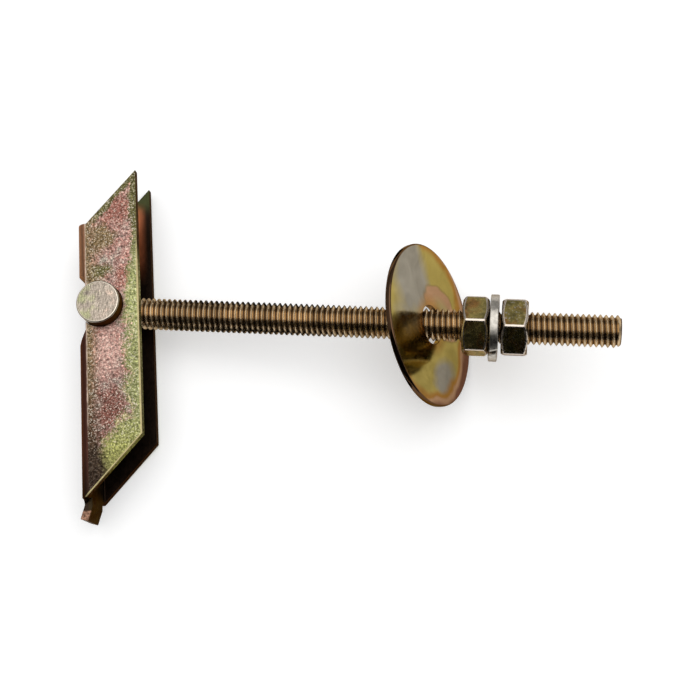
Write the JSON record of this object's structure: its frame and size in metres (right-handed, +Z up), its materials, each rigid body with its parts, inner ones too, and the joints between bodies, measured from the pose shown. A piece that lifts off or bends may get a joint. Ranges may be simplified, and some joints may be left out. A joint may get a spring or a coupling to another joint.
{
  "type": "gravity toggle bolt",
  "caption": "Gravity toggle bolt: a folded channel bar pivots on a pin across a threaded stud that carries a large washer, hexagon nuts and a split lock washer.",
  "frame": {"origin": "on the table under the middle of the part's box, as it lies at rest", "axes": "+Z up from the table, +X along the stud's shadow on the table towards its free end"},
  "size_m": [0.1014, 0.0668, 0.0261],
  "materials": {
    "plated_thread": "yellow zinc plate on a rolled thread, bronze-gold",
    "plated_pin": "yellow zinc plate over turning and parting marks",
    "plated_sheet": "grainy yellow zinc plate, olive, pink and gold in patches",
    "plated_washer": "smooth bright yellow zinc plate with a rainbow film",
    "plated_nut": "yellow zinc plate, olive-gold",
    "bright_zinc": "bright silver zinc plate"
  },
  "bodies": {
    "stud_and_pin": {"threaded_stud": "plated_thread", "trunnion_pin": "plated_pin"},
    "bar": {"toggle_bar": "plated_sheet"},
    "washer": {"large_washer": "plated_washer"},
    "lock_washer": {"spring_lock_washer": "bright_zinc"},
    "nut_inner": {"inner_nut": "plated_nut"},
    "nut_outer": {"outer_nut": "plated_nut"}
  },
  "joints": [
    {"name": "bar_pivot", "type": "hinge", "parent": "stud_and_pin", "child": "bar", "pos_m": [-0.04344, 0.0061, 0.00683], "axis": [-0.1028, -0.0159, 0.9946], "range_deg": [-98.7, 81.2]},
    {"name": "washer_slide", "type": "slide", "parent": "stud_and_pin", "child": "washer", "axis": [0.9947, 0, 0.1028], "range_m": [-0.0195, 0.0008]},
    {"name": "nut_stack_slide", "type": "slide", "parent": "stud_and_pin", "child": "lock_washer", "axis": [0.9947, 0, 0.1028], "range_m": [-0.002, 0.016]},
    {"name": "inner_nut_spin", "type": "hinge", "parent": "lock_washer", "child": "nut_inner", "pos_m": [0.02266, 0.0061, 0.01366], "axis": [0.9947, 0, 0.1028], "range_deg": [-721, 5761]},
    {"name": "outer_nut_spin", "type": "hinge", "parent": "lock_washer", "child": "nut_outer", "pos_m": [0.02957, 0.0061, 0.01437], "axis": [0.9947, 0, 0.1028], "range_deg": [-721, 5761]}
  ],
  "couplings": [
    {"joint": "inner_nut_spin", "follows": "nut_stack_slide", "rad_per_m": 6283.2},
    {"joint": "outer_nut_spin", "follows": "nut_stack_slide", "rad_per_m": 6283.2}
  ]
}
